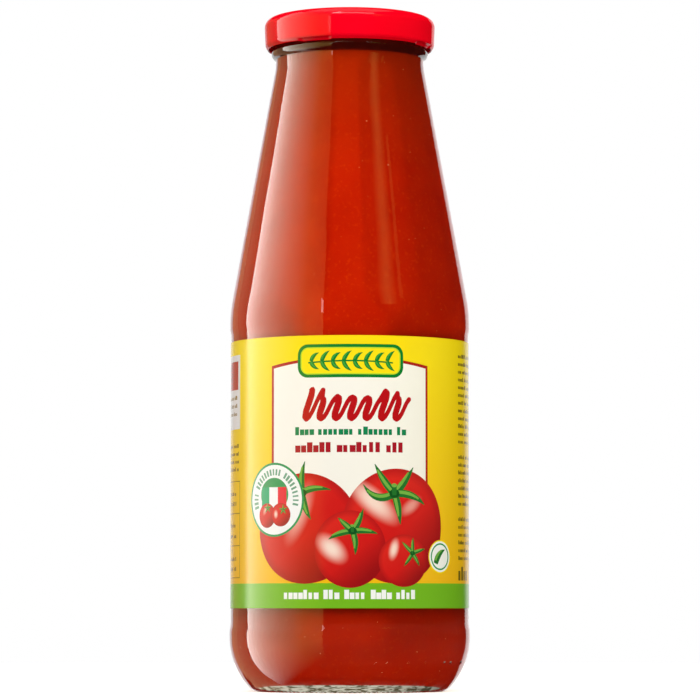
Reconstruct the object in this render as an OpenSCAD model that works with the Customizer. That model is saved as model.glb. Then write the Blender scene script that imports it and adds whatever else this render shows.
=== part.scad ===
// Passata bottle: a 720 ml glass bottle with a twist-off lid, its sauce and its paper label.
// The origin is at the centre of the ring that the bottle stands on, and +Z is up.

/* [Bottle] */
// Height of the bare glass, from the standing ring to the sealing rim
bottle_h = 219.9; // [212:0.1:265]
// Outer diameter of the body at its heel and shoulder bands
body_d = 78.2; // [74:0.1:94]
// Glass thickness of the body and the neck
wall = 2.8; // [2:0.1:3.6]
// Height at which the heel curve meets the upright body
heel_h = 17.8; // [15:0.1:21]
// Radius of the long heel curve
heel_r = 24.4; // [23:0.1:30]
// Radius of the small corner between the heel curve and the standing ring
foot_corner_r = 4; // [3:0.1:5]
// Height at which the upright body turns into the shoulder
shoulder_z = 118.9; // [105:0.1:143]
// Radius of the shoulder curve
shoulder_r = 51; // [42:0.5:62]
// Outer diameter of the neck under the bead
neck_d = 48.52; // [44:0.1:49]
// Radius of the hollow curve from the cone into the neck
neck_curve_r = 20; // [16:0.5:26]

/* [Base] */
// Glass thickness above the standing ring
base_t = 3.6; // [3:0.1:5]
// Height of the hollow under the middle of the base
push_up = 4; // [2:0.1:6]
// Inner diameter of the standing ring
ring_in_d = 55; // [46:0.5:56]
// Radius of the step from the standing ring into the hollow
ring_step_r = 1; // [0.5:0.1:1.6]
// Radius of the inside corner of the heel
inner_corner_r = 6; // [4:0.1:8]

/* [Finish] */
// Largest diameter of the bead under the lid
bead_d = 51.4; // [50.8:0.1:52]
// Radius of the bead's section
bead_r = 2.1; // [1.8:0.1:2.4]
// Distance from the sealing rim down to the middle of the bead
bead_drop = 11.3; // [11:0.1:13]
// Diameter of the glass between the threads
finish_d = 50.2; // [49.4:0.1:50.6]
// Diameter over the threads
thread_d = 52.6; // [52:0.1:53]
// Height of a thread at its foot
thread_w = 3; // [2.4:0.1:3.4]
// Height of a thread at its crest
crest_w = 1.2; // [0.8:0.1:1.8]
// Angle that each thread runs round the finish
thread_sweep = 60; // [45:1:75]
// Rise angle of the threads
thread_tilt = 3; // [1:0.1:4]
// Number of threads, and of lugs on the lid
thread_n = 4; // [3:1:6]
// Rounding on the outside of the sealing rim
rim_out_r = 1.2; // [0.8:0.1:1.4]
// Rounding on the inside of the sealing rim
rim_in_r = 0.8; // [0.5:0.1:1]

/* [Lid] */
// Outer diameter of the lid
lid_d = 56; // [55.6:0.1:57]
// Height of the lid
lid_h = 10.9; // [10.2:0.1:11.2]
// Thickness of the lid's sheet
sheet_t = 0.4; // [0.3:0.05:0.5]
// Radius of the lid's top corner
lid_corner_r = 3; // [2:0.1:3.4]
// How much the skirt draws in towards its lower edge
skirt_taper = 0.25; // [0:0.05:0.3]
// Radius of the rolled lower edge
curl_r = 2.45; // [2:0.05:2.6]
// Depth of the sunken panel in the lid's top
panel_drop = 0.8; // [0.5:0.1:1.2]
// Width of the slope from the top ring down to the panel
panel_slope_w = 0.9; // [0.6:0.1:1.2]
// Diameter of the safety button
button_d = 27; // [20:0.5:32]
// Depth that the closed lid's vacuum pulls the button in
button_drop = 0.5; // [0.2:0.1:0.8]
// Height of a lug
lug_h = 2; // [1.6:0.1:2.2]
// Width of a lug along the edge
lug_w = 9; // [7:0.5:11]

/* [Contents] */
// Height left free above the sauce, under the sealing rim
headspace = 8.4; // [4:0.1:60]

/* [Label] */
// Height of the paper label
label_h = 86.3; // [70:0.1:88]
// Height of the label's lower edge above the standing ring
label_z = 26.9; // [26:0.1:30]
// Thickness of the paper
label_t = 0.12; // [0.1:0.01:0.2]
// Width of the glued overlap at the back
label_lap = 8; // [5:0.5:12]
// Depth of the panel that the label is sunk into
recess_depth = 0.35; // [0.2:0.05:0.6]
// Height of the panel left bare above the label
gap_above = 2.1; // [1:0.1:3]
// Height of the panel left bare below the label
gap_below = 4.9; // [1:0.1:5]
// Height over which the panel eases out to the full diameter
ease_h = 2.7; // [1.5:0.1:3]

/* [Clearances] */
// Gap between the lid and the threads or the bead that it passes
lid_gap = 0.3; // [0.2:0.05:0.4]
// Gap between the top of a lug and the thread that it pulls on
lug_gap = 0.4; // [0.3:0.05:0.6]

/* [Hidden] */
$fn = 128;
arc_steps = 10;
same = 0.0001;

body_r = body_d / 2;
neck_r = neck_d / 2;
bore_r = neck_r - wall;
finish_r = finish_d / 2;
thread_r = thread_d / 2;

// The heel curve and the foot corner, which are tangent to each other
heel_cx = body_r - heel_r;
foot_cx = heel_cx + corner_reach(heel_r, foot_corner_r, 0);
foot_turn = atan2(foot_corner_r - heel_h, foot_cx - heel_cx);
ring_in_r = ring_in_d / 2;
hollow_r = ring_in_r - ring_step_r;

// The same heel, one wall further in
inner_heel_r = heel_r - wall;
inner_cx = heel_cx + corner_reach(inner_heel_r, inner_corner_r, base_t);
inner_turn = atan2(base_t + inner_corner_r - heel_h, inner_cx - heel_cx);
inner_rise = push_up - ring_step_r;

// The cone is the line that touches both the shoulder curve and the neck curve.
// bead_run is the short upright stretch of neck under the bead.
bead_run = 0.5;
bead_z = bottle_h - bead_drop;
bead_cx = bead_d / 2 - bead_r;
neck_z = bead_z - bead_r - bead_run;
shoulder_c = [body_r - shoulder_r, shoulder_z];
neck_c = [neck_r + neck_curve_r, neck_z];
centres = neck_c - shoulder_c;
cone_a = atan2(centres[1], centres[0]) - acos((shoulder_r + neck_curve_r) / norm(centres));

// The label's panel
recess_r = body_r - recess_depth;
recess_low = label_z - gap_below;
recess_high = label_z + label_h + gap_above;
lap_a = label_lap / recess_r * 180 / PI;

// The lid sits on the sealing rim. Each lug runs lug_bite into the rolled edge that carries it.
lug_bite = 0.2;
lid_r = lid_d / 2;
lid_top = bottle_h + sheet_t;
lid_low = lid_top - lid_h;
skirt_low_r = lid_r - skirt_taper;
curl_in_r = thread_r + lid_gap;
curl_c = [skirt_low_r - curl_r, lid_low + curl_r];
curl_end = -acos((curl_in_r - curl_c[0]) / curl_r);
panel_r = bore_r - panel_drop;
lug_top = lid_low + lug_h;
lug_in_r = bead_d / 2 + lid_gap / 2;
lug_start = -acos((curl_in_r + lug_bite - curl_c[0]) / curl_r);
lug_end = -acos((lug_in_r - curl_c[0]) / curl_r);
lug_a = lug_w / lug_in_r * 180 / PI;
thread_z = lug_top + lug_gap + thread_w / 2;
thread_bite = 0.5;
thread_foot = thread_w + thread_bite * (thread_w - crest_w) / (thread_r - finish_r);
first_thread = -25;

// How far a corner of radius r lies from the centre of the heel curve of radius big_r,
// where it touches both that curve and the level floor_z
function corner_reach(big_r, r, floor_z) =
    sqrt(pow(big_r - r, 2) - pow(heel_h - floor_z - r, 2));

// Points along an arc about c, from angle a0 to angle a1
function arc(c, r, a0, a1, n = arc_steps) =
    [for (i = [0:n]) let (a = a0 + (a1 - a0) * i / n) c + r * [cos(a), sin(a)]];

// Points along a gentle S between two upright stretches
function ease(from, to, n = 8) =
    [for (i = [0:n]) let (t = i / n)
        [from[0] + (to[0] - from[0]) * (1 - cos(180 * t)) / 2, from[1] + (to[1] - from[1]) * t]];

// Points along a shallow dome from [0, top] out to [edge_r, low]
function dome(edge_r, top, low) =
    let (rise = top - low, r = (edge_r * edge_r + rise * rise) / (2 * rise))
    arc([0, top - r], r, 90, 90 - asin(edge_r / r));

// One outline without doubled points, so stretches can share their ends
function outline(points) =
    [for (i = [0:len(points) - 1])
        if (i == 0 || norm(points[i] - points[i - 1]) > same) points[i]];

function outside() = concat(
    dome(hollow_r, push_up, ring_step_r),
    arc([ring_in_r, ring_step_r], ring_step_r, 180, 270),
    arc([foot_cx, foot_corner_r], foot_corner_r, -90, foot_turn),
    arc([heel_cx, heel_h], heel_r, foot_turn, 0),
    ease([body_r, recess_low - ease_h], [recess_r, recess_low]),
    ease([recess_r, recess_high], [body_r, recess_high + ease_h]),
    arc(shoulder_c, shoulder_r, 0, cone_a),
    arc(neck_c, neck_curve_r, 180 + cone_a, 180),
    arc([bead_cx, bead_z], bead_r, -acos((neck_r - bead_cx) / bead_r), acos((finish_r - bead_cx) / bead_r)),
    arc([finish_r - rim_out_r, bottle_h - rim_out_r], rim_out_r, 0, 90),
    arc([bore_r + rim_in_r, bottle_h - rim_in_r], rim_in_r, 90, 180)
);

// The inside of the body from the middle of the floor up to the start of the bore
function inside() = concat(
    dome(inner_cx, base_t + inner_rise, base_t),
    arc([inner_cx, base_t + inner_corner_r], inner_corner_r, -90, inner_turn),
    arc([heel_cx, heel_h], inner_heel_r, inner_turn, 0),
    arc(shoulder_c, shoulder_r - wall, 0, cone_a),
    arc(neck_c, neck_curve_r + wall, 180 + cone_a, 180)
);

function reversed(points) = [for (i = [len(points) - 1:-1:0]) points[i]];

// One thread: a level rib, tilted about its own middle to follow the rise
module thread() {
    translate([0, 0, thread_z])
        rotate([thread_tilt, 0, 0])
            rotate([0, 0, -thread_sweep / 2])
                rotate_extrude(angle = thread_sweep)
                    polygon([
                        [finish_r - thread_bite, -thread_foot / 2],
                        [thread_r, -crest_w / 2],
                        [thread_r, crest_w / 2],
                        [finish_r - thread_bite, thread_foot / 2]
                    ]);
}

module glass() {
    color([0.82, 0.86, 0.84, 0.35]) {
        rotate_extrude()
            polygon(outline(concat(outside(), reversed(inside()))));
        for (i = [0:thread_n - 1])
            rotate([0, 0, first_thread + i * 360 / thread_n]) thread();
    }
}

// The whole inside of the glass, cut off level at the top of the sauce
module passata() {
    color([0.72, 0.1, 0.02])
        difference() {
            rotate_extrude()
                polygon(outline(concat(inside(), [[bore_r, bottle_h], [0, bottle_h]])));
            translate([0, 0, bottle_h - headspace]) cylinder(h = bottle_h, r = body_d);
        }
}

// The paper sleeve, twice as thick where its end is glued over its start
module label() {
    outer_r = recess_r + label_t;
    color([0.92, 0.78, 0.1])
        translate([0, 0, label_z])
            difference() {
                cylinder(h = label_h, r = outer_r + label_t);
                translate([0, 0, -1]) cylinder(h = label_h + 2, r = recess_r);
                rotate([0, 0, 90 + lap_a / 2])
                    rotate_extrude(angle = 360 - lap_a)
                        translate([outer_r, -1]) square([1, label_h + 2]);
            }
}

// The pressed top of the lid, z_off below its upper surface
function lid_face(z_off) = concat(
    [[0, lid_top - panel_drop - button_drop - z_off]],
    ease_flat([button_d / 4, -panel_drop - button_drop - z_off], [button_d / 2, -panel_drop - z_off]),
    ease_flat([panel_r, -panel_drop - z_off], [panel_r + panel_slope_w, -z_off])
);

// Points along a gentle S between two level stretches, with heights counted from the lid's top
function ease_flat(from, to, n = 8) =
    [for (i = [0:n]) let (t = i / n)
        [from[0] + (to[0] - from[0]) * t, lid_top + from[1] + (to[1] - from[1]) * (1 - cos(180 * t)) / 2]];

module lid() {
    corner_c = [lid_r - lid_corner_r, lid_top - lid_corner_r];
    color([0.86, 0.02, 0.08]) {
        rotate_extrude()
            polygon(outline(concat(
                lid_face(0),
                arc(corner_c, lid_corner_r, 90, 0),
                arc(curl_c, curl_r, 0, curl_end),
                [[curl_in_r, curl_c[1]], [skirt_low_r - sheet_t, curl_c[1] + sheet_t]],
                arc(corner_c, lid_corner_r - sheet_t, 0, 90),
                reversed(lid_face(sheet_t))
            )));
        for (i = [0:thread_n - 1])
            rotate([0, 0, first_thread - lug_a / 2 + i * 360 / thread_n])
                rotate_extrude(angle = lug_a)
                    polygon(concat(
                        arc(curl_c, curl_r, lug_start, lug_end),
                        [[lug_in_r, lug_top], [curl_in_r + lug_bite, lug_top]]
                    ));
    }
}

glass();
passata();
label();
lid();
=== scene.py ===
# %% [markdown]
# # A bottle of passata, finished in Blender
#
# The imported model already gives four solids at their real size: the glass, the sauce, the paper
# label and the twist-off lid. This lesson gives each its finish. Glass, sauce and lid are round, so
# they could be cylinders with modifiers, or curves with a screw modifier. We spin their outlines
# ourselves, because one function can then press threads, lugs, dots and knurls into the surface.

import math
import random

import bmesh
import bpy
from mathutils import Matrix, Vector, geometry


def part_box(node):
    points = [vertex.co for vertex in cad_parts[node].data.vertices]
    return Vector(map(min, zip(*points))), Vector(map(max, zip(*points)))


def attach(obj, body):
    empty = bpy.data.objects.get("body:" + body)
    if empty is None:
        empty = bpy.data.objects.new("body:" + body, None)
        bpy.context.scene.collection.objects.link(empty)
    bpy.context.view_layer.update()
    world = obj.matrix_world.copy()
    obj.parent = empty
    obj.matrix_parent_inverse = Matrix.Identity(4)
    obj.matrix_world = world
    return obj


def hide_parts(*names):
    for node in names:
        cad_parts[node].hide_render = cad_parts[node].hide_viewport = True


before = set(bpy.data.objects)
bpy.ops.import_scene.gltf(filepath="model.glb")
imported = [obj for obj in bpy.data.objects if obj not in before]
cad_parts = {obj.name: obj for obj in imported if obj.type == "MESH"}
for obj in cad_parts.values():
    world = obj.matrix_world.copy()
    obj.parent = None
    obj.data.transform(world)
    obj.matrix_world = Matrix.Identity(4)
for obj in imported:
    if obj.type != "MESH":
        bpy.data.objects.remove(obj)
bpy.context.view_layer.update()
MM = 0.001
print("packed nodes:", sorted(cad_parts))

# %% [markdown]
# ## Sizes
#
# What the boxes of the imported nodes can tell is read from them, so the looks follow the model. The
# radii of the curves can't be read from a box, so they are named here again, in millimetres. A
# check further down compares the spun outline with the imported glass.

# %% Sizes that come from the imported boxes
def box_mm(node):
    low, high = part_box(node)
    return low / MM, high / MM


_, glass_high = box_mm("glass")
sauce_low, sauce_high = box_mm("passata")
label_low, label_high = box_mm("label")
lid_low, lid_high = box_mm("lid")

BODY_R = glass_high.x
BOTTLE_H = glass_high.z
WALL = BODY_R - sauce_high.x
SAUCE_TOP = sauce_high.z
FLOOR_T = sauce_low.z
LABEL_R = label_high.x
LABEL_T = 0.12
LABEL_H = label_high.z - label_low.z
LID_R = lid_high.x
LID_TOP = lid_high.z
print(f"body {2 * BODY_R:.1f} mm wide, {LID_TOP:.1f} mm high, wall {WALL:.1f} mm")

# %% Curves of the bottle, in millimetres
HEEL_H, HEEL_R, FOOT_R = 17.8, 24.4, 4.0
RING_IN_R, RING_STEP, PUSH_UP = 27.5, 1.0, 4.0
INNER_CORNER_R = 6.0
SHOULDER_Z, SHOULDER_R = 118.9, 51.0
NECK_R, NECK_CURVE_R = 24.26, 20.0
BEAD_MAX_R, BEAD_R, BEAD_DROP, BEAD_RUN = 25.7, 2.1, 11.3, 0.5
FINISH_R, THREAD_R = 25.1, 26.3
RIM_OUT_R, RIM_IN_R = 1.2, 0.8
GAP_ABOVE, GAP_BELOW, EASE_H = 2.1, 4.9, 2.7
THREADS, FIRST_THREAD = 4, -25.0
THREAD_SWEEP, THREAD_TILT, THREAD_W = 60.0, 3.0, 3.0
THREAD_RUN_OUT, LUG_TOP, LUG_PLAY = 4.0, 1.94, 0.4
THREAD_Z = lid_low.z + LUG_TOP + LUG_PLAY + THREAD_W / 2
BORE_R = NECK_R - WALL
BEAD_Z = BOTTLE_H - BEAD_DROP
RECESS_R = LABEL_R - LABEL_T

# %% [markdown]
# ## Outlines
#
# A glass-maker's drawing is a chain of arcs and straight lines, each tangent to the next, and we
# write it the same way. The cone is never given: it is the one line that touches both the shoulder
# curve and the hollow curve of the neck.

# %% Arcs and easy curves
def arc(centre, radius, start, end, steps):
    """Points along an arc, with the angles in degrees."""
    points = []
    for i in range(steps + 1):
        a = math.radians(start + (end - start) * i / steps)
        points.append((centre[0] + radius * math.cos(a), centre[1] + radius * math.sin(a)))
    return points


def line(start, end, steps):
    """Points along a straight line, both ends included."""
    return [
        (start[0] + (end[0] - start[0]) * i / steps, start[1] + (end[1] - start[1]) * i / steps)
        for i in range(steps + 1)
    ]


def ease(start, end, steps=10):
    """A gentle S between two upright stretches."""
    points = []
    for i in range(steps + 1):
        t = i / steps
        blend = (1 - math.cos(math.pi * t)) / 2
        points.append((start[0] + (end[0] - start[0]) * blend, start[1] + (end[1] - start[1]) * t))
    return points


def ease_flat(start, end, steps=10):
    """A gentle S between two level stretches."""
    return [(r, z) for z, r in ease((start[1], start[0]), (end[1], end[0]), steps)]


def dome(edge_r, top, low, steps):
    """A shallow dome from the axis out to its edge."""
    rise = top - low
    radius = (edge_r**2 + rise**2) / (2 * rise)
    turn = math.degrees(math.asin(edge_r / radius))
    return arc((0, top - radius), radius, 90, 90 - turn, steps)


def corner_reach(big_r, small_r, floor_z):
    """How far from the heel's centre a corner lies that touches the heel curve and the floor."""
    return math.sqrt((big_r - small_r) ** 2 - (HEEL_H - floor_z - small_r) ** 2)


def chain(*stretches):
    """Join stretches into one outline and drop doubled points."""
    points = []
    for stretch in stretches:
        for p in stretch:
            if not points or math.dist(p, points[-1]) > 1e-4:
                points.append(p)
    return points


# %% The outside and the inside of the glass
heel_c = (BODY_R - HEEL_R, HEEL_H)
shoulder_c = (BODY_R - SHOULDER_R, SHOULDER_Z)
neck_c = (NECK_R + NECK_CURVE_R, BEAD_Z - BEAD_R - BEAD_RUN)
span = (neck_c[0] - shoulder_c[0], neck_c[1] - shoulder_c[1])
CONE_A = math.degrees(
    math.atan2(span[1], span[0]) - math.acos((SHOULDER_R + NECK_CURVE_R) / math.hypot(*span))
)
DOTS_Z, DOTS_BAND = 9.5, 0.95


def heel_turn(z):
    """The angle at which the heel curve passes height z."""
    return math.degrees(math.asin((z - HEEL_H) / HEEL_R))


def outside():
    foot_x = heel_c[0] + corner_reach(HEEL_R, FOOT_R, 0)
    foot_turn = math.degrees(math.atan2(FOOT_R - HEEL_H, foot_x - heel_c[0]))
    low, high = label_low.z - GAP_BELOW, label_high.z + GAP_ABOVE
    bead_c = (BEAD_MAX_R - BEAD_R, BEAD_Z)
    bead_start = -math.degrees(math.acos((NECK_R - bead_c[0]) / BEAD_R))
    bead_end = math.degrees(math.acos((FINISH_R - bead_c[0]) / BEAD_R))
    dots_low, dots_high = heel_turn(DOTS_Z - DOTS_BAND), heel_turn(DOTS_Z + DOTS_BAND)
    return chain(
        dome(RING_IN_R - RING_STEP, PUSH_UP, RING_STEP, 12),
        arc((RING_IN_R, RING_STEP), RING_STEP, 180, 270, 5),
        line((RING_IN_R, 0), (foot_x, 0), 4),
        arc((foot_x, FOOT_R), FOOT_R, -90, foot_turn, 10),
        arc(heel_c, HEEL_R, foot_turn, dots_low, 12),
        arc(heel_c, HEEL_R, dots_low, dots_high, 13),
        arc(heel_c, HEEL_R, dots_high, 0, 14),
        ease((BODY_R, low - EASE_H), (RECESS_R, low)),
        ease((RECESS_R, high), (BODY_R, high + EASE_H)),
        arc(shoulder_c, SHOULDER_R, 0, CONE_A, 12),
        arc(neck_c, NECK_CURVE_R, 180 + CONE_A, 180, 10),
        arc(bead_c, BEAD_R, bead_start, bead_end, 16),
        line((FINISH_R, BEAD_Z + 1.5), (FINISH_R, BOTTLE_H - RIM_OUT_R), 20),
        arc((FINISH_R - RIM_OUT_R, BOTTLE_H - RIM_OUT_R), RIM_OUT_R, 0, 90, 6),
        arc((BORE_R + RIM_IN_R, BOTTLE_H - RIM_IN_R), RIM_IN_R, 90, 180, 5),
    )


def inside(reach=0.0):
    """The inner wall up to the bore, moved out into the glass by reach."""
    radius = HEEL_R - WALL + reach
    corner = INNER_CORNER_R
    floor_z = FLOOR_T - reach
    corner_x = heel_c[0] + corner_reach(radius, corner, floor_z)
    turn = math.degrees(math.atan2(floor_z + corner - HEEL_H, corner_x - heel_c[0]))
    return chain(
        dome(corner_x, floor_z + PUSH_UP - RING_STEP, floor_z, 12),
        arc((corner_x, floor_z + corner), corner, -90, turn, 8),
        arc(heel_c, radius, turn, 0, 16),
        line((BODY_R - WALL + reach, HEEL_H), (BODY_R - WALL + reach, SHOULDER_Z), 10),
        arc(shoulder_c, SHOULDER_R - WALL + reach, 0, CONE_A, 12),
        arc(neck_c, NECK_CURVE_R + WALL - reach, 180 + CONE_A, 180, 10),
    )


print(f"the shoulder cone leans in by {CONE_A:.2f} degrees")

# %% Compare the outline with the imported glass
def distance_to_outline(r, z, outline):
    best = 1e9
    for (r0, z0), (r1, z1) in zip(outline, outline[1:]):
        length2 = (r1 - r0) ** 2 + (z1 - z0) ** 2
        t = max(0.0, min(1.0, ((r - r0) * (r1 - r0) + (z - z0) * (z1 - z0)) / length2))
        best = min(best, math.hypot(r0 + t * (r1 - r0) - r, z0 + t * (z1 - z0) - z))
    return best


packed = [v.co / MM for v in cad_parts["glass"].data.vertices]
below_bead = [p for p in packed[::7] if p.z < BEAD_Z]
both_walls = outside() + inside()[::-1]
gaps = [distance_to_outline(math.hypot(p.x, p.y), p.z, both_walls) for p in below_bead]
print(f"the spun outline is within {max(gaps):.3f} mm of the packed glass")

# %% [markdown]
# ## Spinning an outline
#
# `spin` turns an outline into a closed mesh. It takes the list of turns, so columns can be packed
# closely round small detail, and a `press` function that may move each point, which is how threads
# and dots get into the surface. Sharp edges are marked by angle, so the curves shade smoothly.

# %% Spin a closed piece
SHARP_ANGLE = 40


def spin(name, outline, turns, press=None):
    """A closed mesh from an outline that starts and ends on the axis."""
    body = outline[1:-1]
    points = [(0, 0, outline[0][1])]
    for i, (r, z) in enumerate(body):
        for a in turns:
            pr, pz = press(i, r, z, a) if press else (r, z)
            points.append((pr * math.cos(a), pr * math.sin(a), pz))
    points.append((0, 0, outline[-1][1]))
    n, rows = len(turns), len(body)
    faces = []
    for k in range(n):
        k2 = (k + 1) % n
        faces.append((0, 1 + k, 1 + k2))
        for i in range(rows - 1):
            a, b = 1 + i * n, 1 + (i + 1) * n
            faces.append((a + k, b + k, b + k2, a + k2))
        last = 1 + (rows - 1) * n
        faces.append((len(points) - 1, last + k2, last + k))
    mesh = bpy.data.meshes.new(name)
    mesh.from_pydata([Vector(p) * MM for p in points], [], faces)
    return finish_mesh(name, mesh)


def finish_mesh(name, mesh):
    """Face the mesh outwards, shade it smooth and put it in the scene."""
    bm = bmesh.new()
    bm.from_mesh(mesh)
    bmesh.ops.recalc_face_normals(bm, faces=bm.faces)
    bm.to_mesh(mesh)
    bm.free()
    mesh.shade_smooth()
    mesh.set_sharp_from_angle(angle=math.radians(SHARP_ANGLE))
    piece = bpy.data.objects.new(name, mesh)
    bpy.context.scene.collection.objects.link(piece)
    print(f"{name}: {len(mesh.vertices)} points, {len(mesh.polygons)} faces")
    return piece


def even_turns(count):
    return [2 * math.pi * k / count for k in range(count)]


def angle_gap(a, b):
    """The signed angle from b to a, in degrees, between -180 and 180."""
    return (math.degrees(a) - b + 180) % 360 - 180


def soft_step(t):
    """Ease from 0 to 1, and stay level on either side."""
    t = max(0.0, min(1.0, t))
    return t * t * (3 - 2 * t)


FRONT = -90.0

# %% [markdown]
# ## Colours and small node helpers
#
# Colours are written as a printer's 0 to 255 values and turned into Blender's linear ones. The
# node helpers only save typing. A value that is the same all over a surface is set straight on the
# shader, so that it survives an export.

# %% Colour and node helpers
def ink(r, g, b):
    linear = [c / 255 / 12.92 if c <= 10 else ((c / 255 + 0.055) / 1.055) ** 2.4 for c in (r, g, b)]
    return (*linear, 1.0)


class Nodes:
    """A short way to add and join nodes in one tree."""

    def __init__(self, tree):
        self.tree = tree

    def add(self, kind, **values):
        node = self.tree.nodes.new(kind)
        for key, value in values.items():
            setattr(node, key, value)
        return node

    def join(self, source, target):
        self.tree.links.new(source, target)

    def math(self, operation, a, b=None):
        node = self.add("ShaderNodeMath", operation=operation)
        for socket, value in zip(node.inputs, (a, b)):
            self.feed(value, socket)
        return node.outputs[0]

    def feed(self, value, socket):
        if value is None:
            return
        if isinstance(value, bpy.types.NodeSocket):
            self.join(value, socket)
        else:
            socket.default_value = value

    def mix(self, factor, a, b):
        node = self.add("ShaderNodeMix", data_type="RGBA")
        self.feed(factor, node.inputs["Factor"])
        self.feed(a, node.inputs["A"])
        self.feed(b, node.inputs["B"])
        return node.outputs["Result"]

    def noise(self, place, scale, detail=3.0):
        node = self.add("ShaderNodeTexNoise")
        self.join(place, node.inputs["Vector"])
        node.inputs["Scale"].default_value = scale
        node.inputs["Detail"].default_value = detail
        return node.outputs["Fac"]

    def spread(self, value, low, high, to_low=0.0, to_high=1.0, kind="LINEAR"):
        node = self.add("ShaderNodeMapRange", clamp=True, interpolation_type=kind)
        self.join(value, node.inputs["Value"])
        ends = {"From Min": low, "From Max": high, "To Min": to_low, "To Max": to_high}
        for key, number in ends.items():
            node.inputs[key].default_value = number
        return node.outputs["Result"]

    def vector(self, operation, a, b=None):
        node = self.add("ShaderNodeVectorMath", operation=operation)
        self.feed(a, node.inputs[0])
        self.feed(b, node.inputs[1])
        return node.outputs["Value" if operation in ("LENGTH", "DOT_PRODUCT") else "Vector"]

    def place(self):
        """The point on the piece, in metres."""
        return self.add("ShaderNodeTexCoord").outputs["Object"]

    def axes(self, vector):
        """The three numbers of a vector, as X, Y and Z."""
        split = self.add("ShaderNodeSeparateXYZ")
        self.join(vector, split.inputs[0])
        return split.outputs

    def mix_shaders(self, share, first, second):
        node = self.add("ShaderNodeMixShader")
        for socket, source in zip(node.inputs, (share, first, second)):
            self.join(source, socket)
        return node.outputs["Shader"]

    def show(self, shader):
        """Make this shader the surface of the material."""
        self.join(shader, self.tree.nodes["Material Output"].inputs["Surface"])


def new_material(name, **sockets):
    """A material with one Principled shader, whose even sockets are set on it directly."""
    material = bpy.data.materials.new(name)
    material.use_nodes = True
    nodes = Nodes(material.node_tree)
    shader = material.node_tree.nodes["Principled BSDF"]
    for key, value in sockets.items():
        shader.inputs[key.replace("_", " ")].default_value = value
    return material, nodes, shader


FLOAT, COLOUR, VECTOR = "NodeSocketFloat", "NodeSocketColor", "NodeSocketVector"


def new_group(name, inputs, outputs):
    """A shader node group with named inputs and outputs."""
    tree = bpy.data.node_groups.new(name, "ShaderNodeTree")
    for title, kind, value in inputs:
        socket = tree.interface.new_socket(title, in_out="INPUT", socket_type=kind)
        socket.default_value = value
    for title, kind in outputs:
        tree.interface.new_socket(title, in_out="OUTPUT", socket_type=kind)
    nodes = Nodes(tree)
    return tree, nodes, nodes.add("NodeGroupInput"), nodes.add("NodeGroupOutput")


def place_group(nodes, tree, **values):
    node = nodes.add("ShaderNodeGroup", node_tree=tree)
    for key, value in values.items():
        nodes.feed(value, node.inputs[key.replace("_", " ")])
    return node


# %% [markdown]
# ## Handling wear
#
# Glass, lacquer and paper carry the same faint record of handling: smudges that change the gloss
# over a few centimetres, and a fine grain. It could be painted for each material, but one group
# with a scale and an amount gives them a family look. It puts out a roughness and a height.

# %% The shared surface group
def build_surface_group():
    inputs = [("Roughness", FLOAT, 0.3), ("Smudge Amount", FLOAT, 0.05)]
    inputs += [("Smudge Scale", FLOAT, 40.0), ("Grain Scale", FLOAT, 1500.0)]
    outputs = [("Roughness", FLOAT), ("Grain", FLOAT)]
    tree, n, given, out = new_group("handled_surface", inputs, outputs)
    place = n.place()
    smudge, grain = (n.add("ShaderNodeTexNoise") for _ in range(2))
    for noise, scale in ((smudge, "Smudge Scale"), (grain, "Grain Scale")):
        n.join(place, noise.inputs["Vector"])
        n.join(given.outputs[scale], noise.inputs["Scale"])
    swing = n.math("SUBTRACT", smudge.outputs["Fac"], 0.5)
    swing = n.math("MULTIPLY", swing, given.outputs["Smudge Amount"])
    total = n.math("ADD", given.outputs["Roughness"], swing)
    n.join(n.math("MAXIMUM", total, 0.0), out.inputs["Roughness"])
    n.join(grain.outputs["Fac"], out.inputs["Grain"])
    return tree


SURFACE = build_surface_group()


def handle(nodes, shader, **values):
    """Give a shader the handled roughness, and return the grain."""
    surface = place_group(nodes, SURFACE, **values)
    nodes.join(surface.outputs["Roughness"], shader.inputs["Roughness"])
    return surface.outputs["Grain"]


def add_bump(nodes, shader, height, distance, strength=1.0):
    bump = nodes.add("ShaderNodeBump")
    bump.inputs["Distance"].default_value = distance
    bump.inputs["Strength"].default_value = strength
    nodes.join(height, bump.inputs["Height"])
    nodes.join(bump.outputs["Normal"], shader.inputs["Normal"])


# %% [markdown]
# ## The glass
#
# The bottle is blown soda glass. Threads stand out of its finish, small mould dots sit on its heel,
# the standing ring is knurled, and two faint seams run up the sides where the mould halves met.
# They could be separate pieces, but glass shows every inner surface, so they are pressed into the
# one spun mesh. Extra columns and rows make room for the dots.

# %% Where the glass has more columns
DOT_TURNS = [12.6, 18.4, 29.8, 40.2, 53.5, 59.0, 71.0]
DOT_R, DOT_RISE, DOT_STEP = 0.58, 0.55, 0.15
GLASS_COLUMNS = 480
KNURLS, KNURL_RISE, KNURL_W, KNURL_FADE = 120, 0.2, 4.5, 1.5
SEAM, SEAM_RISE, SEAM_W = 22.5, 0.07, 0.35
heel_r_at_dots = heel_c[0] + HEEL_R * math.cos(math.radians(heel_turn(DOTS_Z)))


def glass_turns():
    turns = {round(math.degrees(a), 3) for a in even_turns(GLASS_COLUMNS)}
    step = math.degrees(DOT_STEP / heel_r_at_dots)
    for turn in DOT_TURNS:
        turns |= {round((FRONT + turn + step * k) % 360, 3) for k in range(-6, 7)}
    ordered = sorted(turns)
    kept = [t for i, t in enumerate(ordered) if t - ordered[i - 1] > 0.05 or i == 0]
    return [math.radians(t) for t in kept]


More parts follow.
